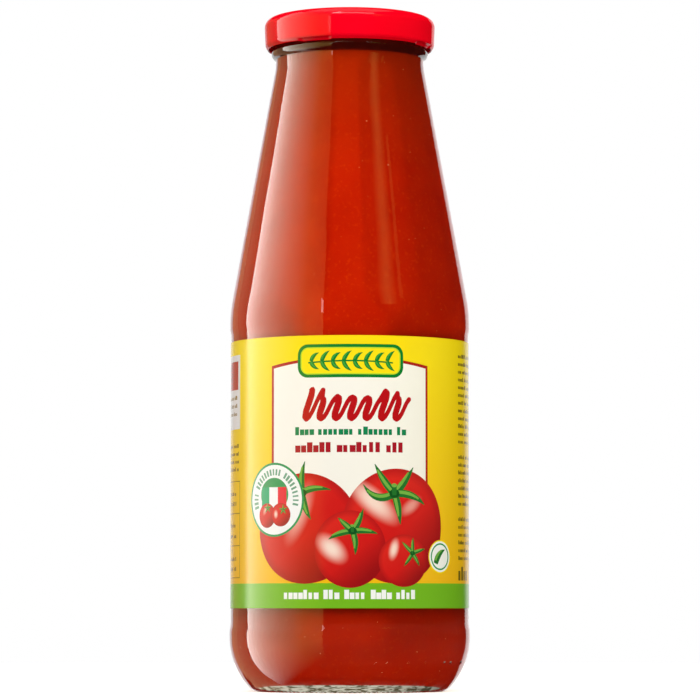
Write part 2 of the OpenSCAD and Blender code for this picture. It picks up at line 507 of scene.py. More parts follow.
# %% Threads, dots, knurls and seams
def thread_rise(z, a):
    """How far a thread stands out at this height and turn."""
    rise = 0.0
    for k in range(THREADS):
        gap = angle_gap(a, FIRST_THREAD + 360 * k / THREADS)
        if abs(gap) > THREAD_SWEEP / 2:
            continue
        climb = math.sin(math.radians(gap)) * math.tan(math.radians(THREAD_TILT))
        middle = THREAD_Z + FINISH_R * climb
        side = min(1.0, abs(z - middle) / (THREAD_W / 2))
        run_out = min(1.0, (THREAD_SWEEP / 2 - abs(gap)) / THREAD_RUN_OUT)
        rise = max(rise, (1 - side**3) * run_out)
    return rise * (THREAD_R - FINISH_R)


def press_glass(i, r, z, a):
    if i >= OUTER_POINTS:
        return r, z
    if z > BEAD_Z + 1.4 and abs(r - FINISH_R) < 0.01:
        return r + thread_rise(z, a), z
    if z < RING_STEP + 0.2 and RING_IN_R - 0.5 < r < RING_IN_R + KNURL_W:
        fade = min(1.0, max(0.0, (RING_IN_R + KNURL_W - r) / KNURL_FADE))
        wave = 0.5 - 0.5 * math.cos(KNURLS * a)
        return r, z + KNURL_RISE * wave * fade
    if abs(z - DOTS_Z) < DOTS_BAND:
        for turn in DOT_TURNS:
            across = math.radians(angle_gap(a, FRONT + turn)) * heel_r_at_dots
            near = math.hypot(across, (z - DOTS_Z) * 1.1) / DOT_R
            if near < 1:
                return r + DOT_RISE * math.sqrt(1 - near**2), z
        return r, z
    seam = min(abs(angle_gap(a, SEAM)), abs(angle_gap(a, SEAM + 180))) * math.radians(r)
    return r + SEAM_RISE * math.exp(-((seam / SEAM_W) ** 2)), z


outer_wall = outside()
OUTER_POINTS = len(outer_wall) - 1
inner_wall = chain(inside(), line((BORE_R, neck_c[1]), (BORE_R, BOTTLE_H - RIM_IN_R), 4))
glass = spin("bottle_glass", chain(outer_wall, inner_wall[::-1]), glass_turns(), press_glass)

# %% [markdown]
# ### Clear glass that lets the studio light in
#
# A glass shader alone would leave the sauce in the dark, because to a lamp's shadow rays glass is
# solid. A Transparent shader for shadow rays only lets the lamps through, while all that is seen
# still goes through the refracting shader. A slow, shallow bump gives reflections a slight swim.

# %% The glass material
GLASS_IOR = 1.52


def build_glass():
    material, n, shader = new_material(
        "clear_glass", Base_Color=ink(247, 252, 248), IOR=GLASS_IOR, Transmission_Weight=1.0
    )
    handle(n, shader, Roughness=0.0, Smudge_Amount=0.03, Smudge_Scale=35.0)
    swim = n.noise(n.place(), 28.0, 1.0)
    add_bump(n, shader, swim, 0.0006)
    clear = n.add("ShaderNodeBsdfTransparent")
    clear.inputs["Color"].default_value = (0.93, 0.95, 0.93, 1)
    to_lamp = n.add("ShaderNodeLightPath").outputs["Is Shadow Ray"]
    n.show(n.mix_shaders(to_lamp, shader.outputs["BSDF"], clear.outputs["BSDF"]))
    return material


glass.data.materials.append(build_glass())
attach(glass, "root")
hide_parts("glass")

# %% [markdown]
# ## The sauce
#
# Passata is sieved tomato: thick, opaque and finely cloudy. There is no air between it and the
# glass, so its mesh reaches a hair into the wall, and no false gap glitters. Light sinks in a
# little, which subsurface scattering gives. Towards the lid the sauce turns browner and darker,
# the darkening being painted shade, and under the lid's rim painted shade makes it nearly black.
# Below the label a painted shade darkens it too, most just under the label's edge.
#
# Sauce bends light less than glass does, so a ray that runs nearly flat along the boundary is
# thrown back into the glass. A Fresnel node with the ratio of the two indices does that. The real
# foot gathers light from all round, which a few bounces can't follow, so there a pale, rippled
# glow takes the mirror's place, at the same flat angles only.

# %% The sauce's mesh
SAUCE_REACH, SAUCE_DIP = 0.15, 0.9
rim_r = BORE_R + SAUCE_REACH


def sauce_top():
    """The surface dips a little in the middle and climbs at the glass."""
    steps = 14
    points = []
    for i in range(steps + 1):
        r = rim_r * (1 - i / steps)
        points.append((r, SAUCE_TOP - SAUCE_DIP * (1 - (r / rim_r) ** 8)))
    return points


sauce = spin("sauce", chain(inside(SAUCE_REACH), sauce_top()), even_turns(256))

# %% How the sauce's colour changes with height
def sauce_colour(n, place, z):
    cloud = n.spread(n.noise(place, 90.0, 4.0), 0.35, 0.68)
    pulp = n.spread(n.noise(place, 900.0, 2.0), 0.58, 0.75, 0.0, 0.35)
    fresh = n.mix(pulp, n.mix(cloud, ink(190, 28, 1), ink(198, 34, 2)), ink(222, 66, 8))
    # Browner towards the lid, and darker there: the darkening is painted shade.
    browner_and_shaded = n.mix(n.spread(z, 0.165, 0.212, 0.0, 0.8), fresh, ink(168, 42, 2))
    # Painted shade of the lid's rim: the sauce just under it is painted nearly black.
    lid_shade = n.spread(z, (lid_low.z - 3.26) * MM, (lid_low.z - 1.46) * MM, 0.0, 0.85)
    upper = n.mix(lid_shade, browner_and_shaded, ink(60, 10, 8))
    # Painted shade below the label: darkest under the label's edge, lighter towards the foot.
    lower = n.mix(n.spread(z, 0.012, 0.026, 0.3, 0.6), browner_and_shaded, ink(132, 22, 4))
    behind_label = n.spread(z, (label_low.z + 1.1) * MM, (label_low.z + 5.1) * MM)
    return n.mix(behind_label, lower, upper)


def foot_glow(n, place, x):
    """The pale, rippled light in the foot, weaker on the right."""
    glow = n.add("ShaderNodeEmission")
    ripple = n.spread(n.noise(place, 420.0, 2.0), 0.42, 0.58)
    n.join(n.mix(ripple, ink(96, 88, 66), ink(206, 200, 182)), glow.inputs["Color"])
    n.join(n.spread(x, 0.008, 0.028, 1.0, 0.45), glow.inputs["Strength"])
    return glow.outputs["Emission"]


# %% The sauce's material
SAUCE_IOR = 1.35
FOOT_Z = (0.0098, 0.0085)


def build_sauce():
    material, n, shader = new_material(
        "passata",
        Subsurface_Weight=0.25,
        Subsurface_Radius=(1.0, 0.25, 0.1),
        Subsurface_Scale=0.002,
        Roughness=0.6,
        Specular_IOR_Level=0.0,
    )
    place = n.place()
    axes = n.axes(place)
    n.join(sauce_colour(n, place, axes["Z"]), shader.inputs["Base Color"])
    mirror = n.add("ShaderNodeBsdfGlossy")
    mirror.inputs["Roughness"].default_value = 0.0
    glow = foot_glow(n, place, axes["X"])
    thrown_back = n.mix_shaders(n.spread(axes["Z"], *FOOT_Z), mirror.outputs["BSDF"], glow)
    flat = n.add("ShaderNodeFresnel")
    flat.inputs["IOR"].default_value = SAUCE_IOR / GLASS_IOR
    n.show(n.mix_shaders(flat.outputs["Fac"], shader.outputs["BSDF"], thrown_back))
    return material


sauce.data.materials.append(build_sauce())
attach(sauce, "root")
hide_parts("passata")

# %% [markdown]
# ### Flecks of skin and seed
#
# Here and there a pale fleck lies against the glass. Each could be a dot of paint, but little
# bodies catch the light. They are one mesh, scattered with a fixed seed, the same in every run.

# %% Scatter the flecks
def wall_radius(z):
    """The radius of the sauce at height z, above the heel."""
    wall = inside(SAUCE_REACH)
    for (r0, z0), (r1, z1) in zip(wall, wall[1:]):
        if z0 <= z <= z1 and z1 > z0 and r0 > 20:
            return r0 + (r1 - r0) * (z - z0) / (z1 - z0)
    return BODY_R - WALL


def scatter_flecks(count):
    chance = random.Random(7)
    bm = bmesh.new()
    for _ in range(count):
        z = chance.uniform(6.5, 205.0)
        a = chance.uniform(0, 2 * math.pi)
        size = chance.uniform(0.10, 0.20) * (1.5 if chance.random() < 0.15 else 1.0)
        r = wall_radius(z) - size * 0.55
        made = bmesh.ops.create_icosphere(bm, subdivisions=1, radius=size)
        stretch = chance.uniform(0.7, 1.5)
        middle = Vector((r * math.cos(a), r * math.sin(a), z))
        for v in made["verts"]:
            v.co = Vector((v.co.x * stretch, v.co.y, v.co.z / stretch)) + middle
    bmesh.ops.scale(bm, vec=Vector((MM, MM, MM)), verts=bm.verts)
    mesh = bpy.data.meshes.new("flecks")
    bm.to_mesh(mesh)
    bm.free()
    return finish_mesh("sauce_flecks", mesh)


def build_fleck_material():
    material, n, shader = new_material("pale_fleck", Roughness=0.45, Specular_IOR_Level=0.3)
    tone = n.mix(n.noise(n.place(), 400.0), ink(236, 120, 70), ink(250, 190, 150))
    n.join(tone, shader.inputs["Base Color"])
    return material


flecks = scatter_flecks(260)
flecks.data.materials.append(build_fleck_material())
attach(flecks, "root")

# %% [markdown]
# ## The lid
#
# A twist-off lid is pressed tinplate: a ring on top that seats on the glass, a sunken panel with a
# safety button, a rounded corner, a skirt and a rolled lower edge, squeezed inwards at four lugs.
# We spin its section as one closed shell and press the lugs.

# %% The lid's section
LID_CORNER_R, SHEET_T, TAPER = 3.0, 0.4, 0.25
CURL_R, TUCK_R, SKIRT_H = 2.45, 0.35, 10.9
PANEL_DROP, SLOPE_W = 0.8, 0.9
BUTTON_R, BUTTON_DROP = 13.5, 0.5
skirt_low_r = LID_R - TAPER
curl_in_r = THREAD_R + 0.3
curl_c = (skirt_low_r - CURL_R, LID_TOP - SKIRT_H + CURL_R)
curl_end = -math.degrees(math.acos((curl_in_r - curl_c[0]) / CURL_R))
panel_r = BORE_R - PANEL_DROP


def lid_face(down):
    """The pressed top, seen from above or, moved down by one sheet, from inside."""
    button = LID_TOP - PANEL_DROP - BUTTON_DROP - down
    panel = LID_TOP - PANEL_DROP - down
    return chain(
        [(0, button)],
        ease_flat((BUTTON_R / 2, button), (BUTTON_R, panel), 12),
        ease_flat((BUTTON_R + 1.2, panel), (BUTTON_R + 2.0, panel - 0.15), 4),
        ease_flat((BUTTON_R + 2.2, panel - 0.15), (BUTTON_R + 3.0, panel), 4),
        ease_flat((panel_r, panel), (panel_r + SLOPE_W, LID_TOP - down), 10),
    )


def lid_section():
    corner = (LID_R - LID_CORNER_R, LID_TOP - LID_CORNER_R)
    return chain(
        lid_face(0),
        arc(corner, LID_CORNER_R, 90, 0, 16),
        line((LID_R, corner[1]), (skirt_low_r, curl_c[1]), 6),
        arc(curl_c, CURL_R, 0, curl_end + 9, 12),
        arc((curl_in_r + TUCK_R, curl_c[1] - 1.55), TUCK_R, -80, -180, 6),
        [(curl_in_r, curl_c[1]), (skirt_low_r - SHEET_T, curl_c[1] + SHEET_T)],
        arc(corner, LID_CORNER_R - SHEET_T, 0, 90, 12),
        lid_face(SHEET_T)[::-1],
    )


# %% Press the lugs
LUG_HALF, LUG_REACH, LUG_EDGE, LUG_DROP = 10.0, 0.75, 3.0, 0.25


def press_lid(i, r, z, a):
    if z > curl_c[1] - 0.3 or r > curl_in_r + 0.9:
        return r, z
    nearest = min(abs(angle_gap(a, FIRST_THREAD + 360 * k / THREADS)) for k in range(THREADS))
    share = soft_step((LUG_HALF + LUG_EDGE - nearest) / LUG_EDGE)
    return r - LUG_REACH * share, z - LUG_DROP * share


lid = spin("lid_shell", lid_section(), even_turns(320), press_lid)

# %% [markdown]
# ### Red lacquer
#
# The lacquer is a coloured coat under a clear one, so the material uses the shader's coat. The
# clear layer has a faint orange-peel, which a fine bump gives, and smudges from handling.

# %% The lid's material
def build_lacquer():
    material, n, shader = new_material(
        "red_lacquer", Coat_Weight=0.6, Coat_Roughness=0.07, Coat_IOR=1.42, Specular_IOR_Level=0.0
    )
    tone = n.spread(n.noise(n.place(), 60.0), 0.3, 0.7)
    n.join(n.mix(tone, ink(240, 0, 24), ink(246, 2, 30)), shader.inputs["Base Color"])
    wear = {"Smudge_Amount": 0.1, "Smudge_Scale": 70.0, "Grain_Scale": 900.0}
    orange_peel = handle(n, shader, Roughness=0.34, **wear)
    add_bump(n, shader, orange_peel, 0.00003, 0.6)
    return material


lid.data.materials.append(build_lacquer())
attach(lid, "root")
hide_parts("lid")

# %% [markdown]
# ## The label
#
# The label is one strip of paper, printed flat and wrapped round the glass, its end glued over its
# start at the back. We draw the print flat, in millimetres from the middle of the front and up
# from the lower edge. A constrained triangulation then cuts the sheet into one mesh whose faces
# know their ink. Lettering is left out: plain blocks stand where words would be.

# %% The artboard
shapes = []


def draw(colour, points):
    """Print a closed outline, anticlockwise, over whatever is already there."""
    turned = sum(a[0] * b[1] - b[0] * a[1] for a, b in zip(points, points[1:] + points[:1]))
    shapes.append((colour, points if turned > 0 else points[::-1]))


def rectangle(u0, v0, u1, v1):
    return [(u0, v0), (u1, v0), (u1, v1), (u0, v1)]


def rounded(u0, v0, u1, v1, r, steps):
    return chain(
        arc((u1 - r, v1 - r), r, 0, 90, steps),
        arc((u0 + r, v1 - r), r, 90, 180, steps),
        arc((u0 + r, v0 + r), r, 180, 270, steps),
        arc((u1 - r, v0 + r), r, 270, 360, steps),
    )


def ellipse(u, v, ru, rv, steps=56):
    return [(u + ru * math.cos(a), v + rv * math.sin(a)) for a in even_turns(steps)]


def on_ellipse(u, v, ru, rv, turn):
    a = math.radians(turn)
    return (u + ru * math.cos(a), v + rv * math.sin(a))


def ribbon(spine, widths):
    """An outline of changing width along a spine."""
    left, right = [], []
    for i, (u, v) in enumerate(spine):
        before, after = spine[max(i - 1, 0)], spine[min(i + 1, len(spine) - 1)]
        du, dv = after[0] - before[0], after[1] - before[1]
        size = math.hypot(du, dv)
        nu, nv = -dv / size * widths[i] / 2, du / size * widths[i] / 2
        left.append((u + nu, v + nv))
        right.append((u - nu, v - nv))
    return left + right[::-1]


def bent(points, steps=10):
    """A smooth spine through three control points."""
    (u0, v0), (u1, v1), (u2, v2) = points
    spine = []
    for i in range(steps + 1):
        t = i / steps
        a, b, c = (1 - t) ** 2, 2 * t * (1 - t), t * t
        spine.append((a * u0 + b * u1 + c * u2, a * v0 + b * v1 + c * v2))
    return spine


def leaf(points, width, dark="leaf_green", light="leaf_light"):
    """A slender leaf, widest near its foot, with a lit streak down one side."""
    spine = bent(points)
    last = len(spine) - 1
    swell = [math.sin(math.pi * (0.3 + 0.7 * i / last)) ** 0.8 for i in range(last + 1)]
    full = [0.86 * width * max(0.08, share) for share in swell]
    draw(dark, ribbon(spine, full))
    side = [(p[0] - 0.14 * width, p[1] + 0.14 * width) for p in spine[1:-2]]
    draw(light, ribbon(side, [w * 0.42 for w in full[1:-2]]))


def brushed(colour, points, widths):
    """A brush stroke: overlapping dabs along a line of points."""
    for i, (a, b) in enumerate(zip(points, points[1:])):
        draw(colour, ribbon([a, b], [widths[i], widths[i + 1]]))
        draw(colour, ellipse(b[0], b[1], widths[i + 1] / 2, widths[i + 1] / 2, 10))


def words(colour, u0, u1, v, height, seed, gap, letter):
    """Blocks of uneven height where a line of words would be."""
    chance = random.Random(seed)
    u = u0
    left = chance.randint(3, 8)
    while u + letter < u1:
        if left == 0:
            u += gap
            left = chance.randint(3, 9)
            continue
        wide = letter * chance.uniform(0.62, 0.95)
        tall = height * (1.0 if chance.random() < 0.3 else 0.7)
        draw(colour, rectangle(u, v, min(u + wide, u1), v + tall))
        u += letter
        left -= 1


# %% [markdown]
# ### The tomatoes in the picture
#
# A printed tomato is a round field of red with a lit side, a dark side and a long gleam or two.
# Its outline is cut into the sheet, and node groups shade it by the flat place on the label. Each
# calyx is a fan of bent leaves round a short stalk.

# %% Front panel
CREAM_FOOT, CREAM_TOP, CREAM_RISE, CREAM_SIDE = 27.0, 77.0, 2.6, 26.9


def arched_panel(inset):
    """A panel with straight sides and a top that rises to the middle."""
    side = CREAM_SIDE - inset
    across = [1 - t / 8 for t in range(17)]
    top = [(side * t, CREAM_TOP - inset + CREAM_RISE * (1 - t**2)) for t in across]
    return [(-side, CREAM_FOOT), (side, CREAM_FOOT)] + top


def calyx(u, v, width, stalk, leaves):
    """Leaves given by their bend and their tip, seen from the middle of the calyx."""
    for bend_u, bend_v, tip_u, tip_v in leaves:
        leaf([(u, v), (u + bend_u, v + bend_v), (u + tip_u, v + tip_v)], width)
    draw("leaf_shade", ellipse(u, v, width * 0.6, width * 0.5, 20))
    stem = [(u, v - stalk * 0.2), (u - 0.1, v + stalk)]
    draw("leaf_green", ribbon(stem, [stalk * 0.55, stalk * 0.7]))
    draw("leaf_light", ellipse(u - 0.1, v + stalk, stalk * 0.36, stalk * 0.24, 16))


# Tomatoes: the middle, then half the width and half the height.
TOMATO_SPOTS = {
    "tomato_left": (-14.7, 25.2, 17.6, 17.5),
    "tomato_right": (15.3, 25.9, 17.6, 18.2),
    "tomato_front": (0.1, 18.6, 11.5, 12.2),
    "tomato_small": (17.8, 15.0, 8.6, 8.3),
    "tomato_badge_a": (-28.9, 29.4, 3.5, 3.9),
    "tomato_badge_b": (-23.3, 29.6, 3.7, 3.7),
}


def tomato(colour):
    draw(colour, ellipse(*TOMATO_SPOTS[colour], 84))


draw("grass_band", rectangle(-200, -1, 200, 7.9))
draw("border_red", arched_panel(0))
draw("cream", arched_panel(0.85))
tomato("tomato_left")
tomato("tomato_right")
calyx(-15.4, 36.4, 2.5, 1.4, [
    (-0.9, 4.6, 0.9, 10.0), (3.2, 2.4, 9.5, 0.9), (0.6, -5.0, 2.9, -8.4), (-4, 1, -8, -2),
])
calyx(14.5, 36.2, 2.9, 2.6, [
    (-3.6, 3.4, -6.5, 9.3), (3.4, 3.0, 6.7, 8.4), (-6.4, -3.6, -10.2, 2.8), (6.6, 0.6, 11.0, -3.4),
    (1.6, -4.4, 2.0, -9.7),
])
tomato("tomato_front")
calyx(0.9, 24.3, 2.3, 1.7, [
    (2.2, 2.6, 3.4, 7.0), (4.0, 0.6, 8.0, -0.8), (1.4, -3.4, 0.8, -7.4), (-4.2, -0.2, -7.6, -2.6),
    (-2.4, 2.2, -4.6, 4.2),
])
tomato("tomato_small")
calyx(20.9, 17.4, 1.5, 0.9, [
    (0, 2.4, 0.2, 4.9), (2.4, 0.8, 4.8, 1.4), (1.6, -2.0, 2.6, -4.0), (-1.2, -2.0, -3.1, -4.1),
    (-2.0, 1.8, -3.8, 3.6),
])

# %% Plaque, brushed wave and lines of words
draw("plaque_green", rounded(-17.0, 72.9, 17.6, 83.5, 3.4, 10))
draw("plaque_light", rounded(-16.0, 73.9, 16.6, 82.5, 2.6, 8))
draw("sun_yellow", rounded(-15.6, 74.3, 16.2, 82.1, 2.2, 8))
draw("plaque_green", ribbon(bent([(-13.4, 77.6), (0.3, 78.8), (14.0, 77.6)]), [0.5] * 11))
for k in range(8):
    foot = -12.4 + 3.5 * k
    for side in (1, -1):
        tip = (foot + 2.5, 78.2 + side * (3.2 if k % 2 else 2.6))
        leaf([(foot, 78.1), (foot + 0.3, 78.1 + side * 1.9), tip], 1.6, "plaque_green", "plaque_leaf")


def wave(u0, u1, v, rises):
    """A leaning hand-brushed wave whose humps are of uneven height."""
    points, widths = [], []
    steps = 12
    for k, rise in enumerate(rises):
        for i in range(steps):
            t = (k + i / steps) / len(rises)
            swing = math.cos(2 * math.pi * i / steps)
            lift = rise * (swing + 1) - 4.6
            lean = 0.42 * lift + 0.3 * math.sin(4 * math.pi * i / steps)
            points.append((u0 + (u1 - u0) * t + lean, v + lift))
            widths.append(1.75 + 0.4 * math.sin(2 * math.pi * i / steps))
    return points, widths


brushed("brush_red", *wave(-14.6, 19.6, 64.4, [4.9, 3.3, 3.5, 3.4, 3.3, 4.4, 3.4]))
words("word_green", -17.9, 18.9, 54.7, 2.6, 3, 1.2, 1.65)
words("word_red", -17.9, 19.3, 49.2, 3.2, 11, 1.5, 2.05)
words("paper_white", -22.0, 22.8, 2.9, 2.9, 5, 1.4, 1.75)

# %% Badge, sticker and side panels
BADGE = (-25.8, 34.4)
draw("badge_green", ellipse(*BADGE, 11.0, 11.8))
draw("paper_white", ellipse(*BADGE, 10.3, 11.1))
chance = random.Random(2)
for k in range(25):
    if k in (4, 15):
        continue
    near, far = (on_ellipse(*BADGE, r, r + 0.7, 196 - 8.6 * k) for r in (7.1, 9.1))
    draw("badge_words", ribbon([near, far], [0.85 * chance.uniform(0.6, 1.0)] * 2))
draw("badge_green", ellipse(-26.0, 36.0, 5.6, 5.4, 40))
bands = (-31.2, -27.9, -24.4, -21.1)
for colour, u0, u1 in zip(("flag_green", "paper_white", "flag_red"), bands, bands[1:]):
    draw(colour, rectangle(u0, 31.0, u1, 38.4))
tomato("tomato_badge_a")
tomato("tomato_badge_b")
for u, v in ((-28.6, 31.8), (-22.3, 31.2)):
    for turn in (20, 92, 164, 236, 308):
        tip = on_ellipse(u, v, 1.7, 1.7, turn)
        leaf([(u, v), ((u + tip[0]) / 2, (v + tip[1]) / 2), tip], 0.7)
rings = [("sun_yellow", 5.3, 40), ("paper_white", 4.9, 40), ("badge_green", 4.3, 36)]
for colour, r, steps in rings + [("paper_white", 3.8, 36)]:
    draw(colour, ellipse(32.5, 16.4, r, r, steps))
leaf([(30.4, 14.2), (31.4, 17.6), (34.8, 18.6)], 2.6)

# %% Columns of small print round the sides and the back
def small_words(u0, u1, v, seed, height=1.3):
    words("small_print", u0, u1, v, height, seed, 0.8, 0.95)


def column(u0, u1, v_low, v_high, seed, pitch=2.5):
    chance = random.Random(seed)
    v = v_high
    while v - pitch > v_low:
        v -= pitch
        if chance.random() < 0.1:
            continue
        end = u1 if chance.random() < 0.8 else u0 + (u1 - u0) * chance.uniform(0.4, 0.8)
        small_words(u0, end, v, chance.random(), 1.25)


column(43.4, 74.0, 14.0, 83.0, 21)
words("small_print", 43.4, 56.0, 8.9, 4.4, 4, 1.4, 2.3)
draw("panel_white", rectangle(-75.0, 57.7, -44.4, 81.6))
draw("word_red", rectangle(-56.0, 70.4, -46.0, 79.6))
for seed, v in ((8, 67.2), (9, 64.6), (10, 62.0)):
    small_words(-72.0, -46.0, v, seed)
column(-75.0, -44.4, 42.5, 56.6, 31)
for v in (9.8, 20.1, 30.5, 40.8):
    draw("small_print", rectangle(-75.0, v - 0.12, -44.4, v + 0.12))
for u in (-75.0, -58.0, -44.6):
    draw("small_print", rectangle(u, 9.8, u + 0.24, 40.8))
for v in (12.0, 15.2, 22.6, 26.0, 33.0, 36.2):
    small_words(-73.0, -60.0, v, v)
    small_words(-56.0, -47.0, v, v + 1)
column(80.0, 112.0, 14.0, 83.0, 41)
draw("panel_white", rectangle(-112.0, 44.0, -82.0, 81.6))
column(-110.0, -84.0, 46.0, 80.6, 51)
column(-112.0, -82.0, 14.0, 41.0, 61)
print(f"{len(shapes)} printed shapes")

# %% [markdown]
# ### Cut, wrap and thicken the sheet
#
# The triangulation tells which shapes cover each triangle, and the last one drawn wins, as with
# ink over ink. Upright lines every two degrees keep the wrapped sheet round. Each corner gets the
# cylinder's true normal, so the gloss runs evenly across uneven triangles.

# %% Cut the sheet into inks
GROUND = "label_yellow"
LAP, LAP_RISE = 8.0, 3.0
FOLD_EVERY = math.radians(2)
half_sheet = (2 * math.pi * LABEL_R + LAP) / 2


def cut_sheet():
    points, edges, faces = [], [], []

    def add_outline(outline):
        start = len(points)
        points.extend(Vector(p) for p in outline)
        faces.append(list(range(start, len(points))))

    add_outline(rectangle(-half_sheet, 0, half_sheet, LABEL_H))
    for colour, outline in shapes:
        add_outline([
            (max(-half_sheet, min(half_sheet, u)), max(0, min(LABEL_H, v))) for u, v in outline
        ])
    columns = int(2 * half_sheet / (LABEL_R * FOLD_EVERY))
    for k in range(1, columns):
        u = -half_sheet + 2 * half_sheet * k / columns
        edges.append((len(points), len(points) + 1))
        points.extend((Vector((u, 0)), Vector((u, LABEL_H))))
    return geometry.delaunay_2d_cdt(points, edges, faces, 1, 1e-5, True)


flat_points, _, flat_faces, _, _, owners = cut_sheet()
colours = [GROUND] + [colour for colour, _ in shapes]
face_ink = [colours[max(owner)] if owner else GROUND for owner in owners]
inks = [GROUND, "paper_back"] + sorted(set(face_ink) - {GROUND})
print(f"label: {len(flat_points)} points, {len(flat_faces)} faces, {len(inks)} inks")

# %% Wrap and thicken it
PRINT_SCALE = 0.01


def lap_lift(u):
    """The glued end climbs over the start of the sheet."""
    return LABEL_T * soft_step((u - (half_sheet - LAP - LAP_RISE)) / LAP_RISE)


def wrapped(u, v, depth):
    a = math.radians(FRONT) + u / LABEL_R
    r = LABEL_R + lap_lift(u) - depth
    return Vector((r * math.cos(a), r * math.sin(a), label_low.z + v)) * MM


def wrap_sheet():
    n = len(flat_points)
    skin = LABEL_T * 0.94
    points = [wrapped(p.x, p.y, depth) for depth in (0, skin) for p in flat_points]
    faces = [list(f) for f in flat_faces] + [[i + n for i in reversed(f)] for f in flat_faces]
    edges = {pair: True for f in flat_faces for pair in zip(f, f[1:] + f[:1])}
    rim = [(a, b) for a, b in edges if (b, a) not in edges]
    faces += [[b, a, a + n, b + n] for a, b in rim]
    mesh = bpy.data.meshes.new("label_sheet")
    mesh.from_pydata(points, [], faces)
    flat = mesh.uv_layers.new(name="print")
    normals = []
    for face in mesh.polygons:
        k = face.index
        printed = k < len(flat_faces)
        face.material_index = inks.index(face_ink[k]) if printed else 1
        face.use_smooth = True
        for loop in face.loop_indices:
            i = mesh.loops[loop].vertex_index
            p = flat_points[i % n]
            flat.data[loop].uv = (p.x * PRINT_SCALE, p.y * PRINT_SCALE)
            out = Vector((points[i].x, points[i].y, 0)).normalized()
            if printed:
                normals.append(out)
            elif k < 2 * len(flat_faces):
                normals.append(-out)
            else:
                normals.append(face.normal.copy())
    mesh.normals_split_custom_set(normals)
    piece = bpy.data.objects.new("paper_label", mesh)
    bpy.context.scene.collection.objects.link(piece)
    return piece


label = wrap_sheet()

# %% [markdown]
# ### Printed paper
#
# Every ink lies on the same coated paper, so the ink materials share a group for the paper: a fine
# tooth, and a whisper of uneven ink. Only the colour differs, and the tomatoes take theirs from
# two more groups, one for the round fruit and one for its gleams.

# %% The paper group
def build_paper_group():
    inputs = [("Ink", COLOUR, (1, 1, 1, 1)), ("Unevenness", FLOAT, 0.02)]
    outputs = [("Color", COLOUR), ("Tooth", FLOAT)]
    tree, n, given, out = new_group("printed_paper", inputs, outputs)
    place = n.place()
    n.join(n.noise(place, 2600.0, 3.0), out.inputs["Tooth"])
    shade = n.math("MULTIPLY", n.noise(place, 420.0, 2.0), given.outputs["Unevenness"])
    darker = n.mix(shade, given.outputs["Ink"], (0.02, 0.02, 0.02, 1))
    n.join(darker, out.inputs["Color"])
    return tree


PAPER = build_paper_group()

# %% The tomato group
SPOT = [("Middle", VECTOR, (0, 0, 0)), ("Size", VECTOR, (0.1, 0.1, 1))]


def on_print(n):
    """The flat place on the sheet."""
    return n.add("ShaderNodeUVMap", uv_map="print").outputs["UV"]


def build_tomato_group():
    """Shades a printed tomato from its middle and its size on the sheet."""
    tree, n, given, out = new_group("printed_tomato", SPOT, [("Color", COLOUR)])
    place = n.vector("SUBTRACT", on_print(n), given.outputs["Middle"])
    place = n.vector("DIVIDE", place, given.outputs["Size"])
    flat = n.vector("MULTIPLY", place, (1, 1, 0))
    edge = n.vector("LENGTH", flat)
    lit = n.vector("DOT_PRODUCT", flat, (-0.5, 0.62, 0))
    body = n.mix(n.spread(lit, -0.8, -0.1), ink(138, 10, 14), ink(212, 24, 20))
    body = n.mix(n.spread(lit, 0.0, 0.6, 0.0, 0.7), body, ink(226, 42, 30))
    body = n.mix(n.spread(edge, 0.82, 1.0, 0.0, 0.6), body, ink(164, 14, 20))
    n.join(body, out.inputs["Color"])
    return tree


TOMATO = build_tomato_group()

# %% The gleam group
def build_gleam_group():
    """A soft, long spot: its middle, its half length and half width, and its turn."""
    inputs = SPOT + [("Turn", FLOAT, 0.0)]
    tree, n, given, out = new_group("printed_gleam", inputs, [("Mask", FLOAT)])
    turned = n.add("ShaderNodeVectorRotate", rotation_type="Z_AXIS")
    n.join(n.vector("SUBTRACT", on_print(n), given.outputs["Middle"]), turned.inputs["Vector"])
    n.join(n.math("MULTIPLY", given.outputs["Turn"], -1.0), turned.inputs["Angle"])
    place = n.vector("DIVIDE", turned.outputs[0], given.outputs["Size"])
    far = n.vector("LENGTH", n.vector("MULTIPLY", place, (1, 1, 0)))
    n.join(n.spread(far, 1.0, 0.1, kind="SMOOTHSTEP"), out.inputs["Mask"])
    return tree


GLEAM = build_gleam_group()

# Gleams: middle, half length and half width in millimetres, turn in degrees, strength.
GLEAMS = {
    "tomato_left": [(-16.6, 30.0, 12.5, 4.4, 68, 0.5)],
    "tomato_right": [(7.6, 33.6, 12.0, 4.6, -40, 0.95), (20.4, 32.3, 5.5, 2.6, 36, 0.4)],
    "tomato_front": [(-5.8, 18.8, 7.0, 4.2, -42, 1.0)],
    "tomato_small": [(14.3, 18.6, 4.2, 2.0, 76, 0.95)],
    "tomato_badge_a": [(-29.6, 31.2, 2.2, 1.0, 60, 0.6)],
    "tomato_badge_b": [(-25.2, 29.8, 1.7, 1.0, 90, 0.9)],
}

# %% One material for each ink
FLAT_INKS = {
    "paper_back": (236, 232, 222),
    "paper_white": (250, 250, 246),
    "panel_white": (232, 232, 232),
    "grass_band": (118, 186, 30),
    "border_red": (176, 24, 14),
    "brush_red": (186, 8, 16),
    "word_red": (170, 22, 36),
    "word_green": (20, 132, 78),
    "cream": (251, 246, 233),
    "plaque_green": (6, 128, 44),
    "plaque_light": (200, 224, 40),
    "sun_yellow": (254, 226, 8),
    "badge_green": (34, 150, 84),
    "flag_green": (18, 168, 112),
    "flag_red": (232, 30, 52),
    "leaf_shade": (16, 84, 30),
    "leaf_green": (34, 116, 42),
    "leaf_light": (116, 178, 68),
    "plaque_leaf": (60, 160, 60),
    "badge_words": (112, 164, 132),
    "small_print": (118, 98, 12),
}


def ground_colour(n):
    """Yellow that warms towards the lower edge."""
    up = n.axes(on_print(n))["Y"]
    return n.mix(n.spread(up, 0.08, 0.8), ink(250, 190, 14), ink(252, 222, 0))


